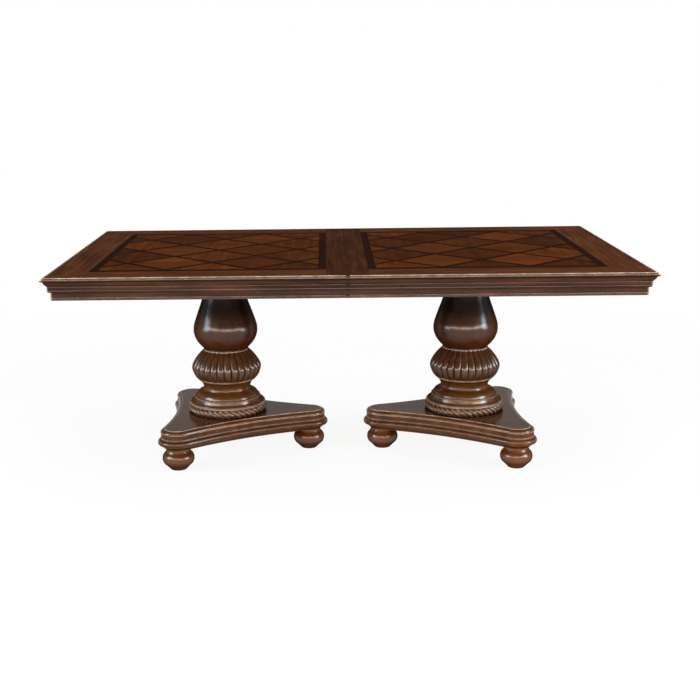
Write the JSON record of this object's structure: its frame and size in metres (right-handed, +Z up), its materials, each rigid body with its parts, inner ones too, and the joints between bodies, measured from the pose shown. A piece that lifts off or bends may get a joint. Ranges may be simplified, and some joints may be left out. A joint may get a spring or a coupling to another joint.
{
  "type": "dining table",
  "caption": "Rectangular extension dining table on twin turned, reeded pedestals with concave triangular plinths and bun feet; lattice veneer top in two halves.",
  "frame": {"origin": "on the floor under the middle of the closed table", "axes": "+X along the table's length to the right half, +Y from the front to the back, +Z up"},
  "size_m": [2.032, 1.219, 0.782],
  "materials": {
    "lacquered_wood": "gloss",
    "border_veneer": "gloss",
    "diamond_veneer": "gloss",
    "dark_veneer": "gloss",
    "core_board": "matte",
    "hidden_hardwood": "matte",
    "slide_hardwood": "satin",
    "steel": "satin",
    "brass": "satin",
    "nylon": "matte"
  },
  "bodies": {
    "left_half": {"left_core_panel": "core_board", "left_border_veneer": "border_veneer", "left_diamond_veneers": "diamond_veneer", "left_dark_inlay": "dark_veneer", "left_edge_moulding": "lacquered_wood", "left_front_apron": "lacquered_wood", "left_back_apron": "lacquered_wood", "left_end_apron": "lacquered_wood", "left_apron_moulding": "lacquered_wood", "left_seam_rail": "hidden_hardwood", "left_mounting_plate": "hidden_hardwood", "left_tie_rod": "steel", "left_screws": "steel", "left_slide_rails": "slide_hardwood", "left_urn": "lacquered_wood", "left_reeded_bulb": "lacquered_wood", "left_base_turning": "lacquered_wood", "left_rope_ring": "lacquered_wood", "left_plinth": "lacquered_wood", "left_inner_foot": "lacquered_wood", "left_back_foot": "lacquered_wood", "left_front_foot": "lacquered_wood", "left_foot_glides": "nylon", "left_racks": "steel", "seam_dowels": "slide_hardwood", "lock_pivots": "steel"},
    "right_half": {"right_core_panel": "core_board", "right_border_veneer": "border_veneer", "right_diamond_veneers": "diamond_veneer", "right_dark_inlay": "dark_veneer", "right_edge_moulding": "lacquered_wood", "right_front_apron": "lacquered_wood", "right_back_apron": "lacquered_wood", "right_end_apron": "lacquered_wood", "right_apron_moulding": "lacquered_wood", "right_seam_rail": "hidden_hardwood", "right_mounting_plate": "hidden_hardwood", "right_tie_rod": "steel", "right_screws": "steel", "right_slide_rails": "slide_hardwood", "right_urn": "lacquered_wood", "right_reeded_bulb": "lacquered_wood", "right_base_turning": "lacquered_wood", "right_rope_ring": "lacquered_wood", "right_plinth": "lacquered_wood", "right_inner_foot": "lacquered_wood", "right_back_foot": "lacquered_wood", "right_front_foot": "lacquered_wood", "right_foot_glides": "nylon", "right_racks": "steel", "lock_keepers": "steel"},
    "front_centre_slide": {"front_centre_rail": "slide_hardwood", "front_pinion_pin": "steel"},
    "back_centre_slide": {"back_centre_rail": "slide_hardwood", "back_pinion_pin": "steel"},
    "front_gear": {"front_pinion": "steel"},
    "back_gear": {"back_pinion": "steel"},
    "front_lock": {"front_lock_hook": "brass"},
    "back_lock": {"back_lock_hook": "brass"}
  },
  "joints": [
    {"name": "top_slide", "type": "slide", "parent": "left_half", "child": "right_half", "axis": [1, 0, 0], "range_m": [0, 0.508]},
    {"name": "front_centre_rail_slide", "type": "slide", "parent": "left_half", "child": "front_centre_slide", "axis": [1, 0, 0], "range_m": [0, 0.254]},
    {"name": "back_centre_rail_slide", "type": "slide", "parent": "left_half", "child": "back_centre_slide", "axis": [1, 0, 0], "range_m": [0, 0.254]},
    {"name": "front_pinion_spin", "type": "hinge", "parent": "front_centre_slide", "child": "front_gear", "pos_m": [0, -0.25, 0.722], "axis": [0, 0, 1], "range_deg": [0, 810]},
    {"name": "back_pinion_spin", "type": "hinge", "parent": "back_centre_slide", "child": "back_gear", "pos_m": [0, 0.25, 0.722], "axis": [0, 0, 1], "range_deg": [-810, 0]},
    {"name": "front_lock_swing", "type": "hinge", "parent": "left_half", "child": "front_lock", "pos_m": [-0.03, -0.4237, 0.747], "axis": [0, 0, 1], "range_deg": [-90, 0]},
    {"name": "back_lock_swing", "type": "hinge", "parent": "left_half", "child": "back_lock", "pos_m": [-0.03, 0.4237, 0.747], "axis": [0, 0, 1], "range_deg": [0, 90]}
  ],
  "couplings": [
    {"joint": "front_centre_rail_slide", "follows": "top_slide", "ratio": 0.5},
    {"joint": "back_centre_rail_slide", "follows": "top_slide", "ratio": 0.5},
    {"joint": "front_pinion_spin", "follows": "top_slide", "rad_per_m": 27.778},
    {"joint": "back_pinion_spin", "follows": "top_slide", "rad_per_m": -27.778}
  ]
}
